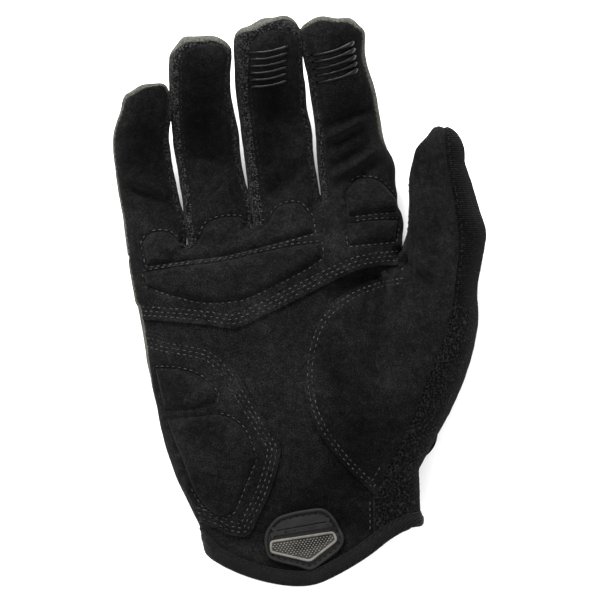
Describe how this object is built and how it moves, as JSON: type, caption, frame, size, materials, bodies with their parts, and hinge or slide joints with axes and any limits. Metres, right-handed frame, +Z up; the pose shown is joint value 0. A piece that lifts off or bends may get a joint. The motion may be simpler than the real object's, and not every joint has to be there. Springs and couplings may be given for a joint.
{
  "type": "cycling glove",
  "caption": "Right-hand full-finger cycling glove with foam palm pads, silicone fingertip grips, knit finger sides, terry thumb back and a bound cuff with a pull tab.",
  "frame": {"origin": "on the flat back of the hand, where the glove rests, under the knuckle edge of the palm", "axes": "+X to the thumb side, +Y to the fingertips, +Z up out of the palm"},
  "size_m": [0.1291, 0.1997, 0.0437],
  "materials": {
    "suede": "matte black synthetic suede",
    "knit": "black mesh knit",
    "terry": "black terry towelling",
    "back_fabric": "grey-olive stretch cloth",
    "binding": "black woven tape",
    "silicone": "glossy black silicone",
    "rubber": "satin black moulded rubber",
    "pale_rubber": "grey-beige knurled rubber"
  },
  "bodies": {
    "root": {"palm_panel": "suede", "finger_panel": "suede", "thumb_panel": "suede", "thumb_back": "terry", "back_panel": "back_fabric", "back_little": "back_fabric", "back_ring": "back_fabric", "back_middle": "back_fabric", "back_index": "back_fabric", "gusset_little_ring": "knit", "gusset_ring_middle": "knit", "gusset_middle_index": "knit", "heel_overlay": "suede", "pad_knuckle_upper": "suede", "pad_knuckle_lower": "suede", "pad_index_upper": "suede", "pad_index_lower": "suede", "pad_heel_upper": "suede", "pad_heel_lower": "suede", "grip_middle_1": "silicone", "grip_middle_2": "silicone", "grip_middle_3": "silicone", "grip_middle_4": "silicone", "grip_middle_5": "silicone", "grip_middle_6": "silicone", "grip_index_1": "silicone", "grip_index_2": "silicone", "grip_index_3": "silicone", "grip_index_4": "silicone", "grip_index_5": "silicone", "cuff_binding": "binding", "pull_tab": "rubber", "pull_tab_wedge": "pale_rubber", "closing_strap": "binding"}
  },
  "joints": []
}
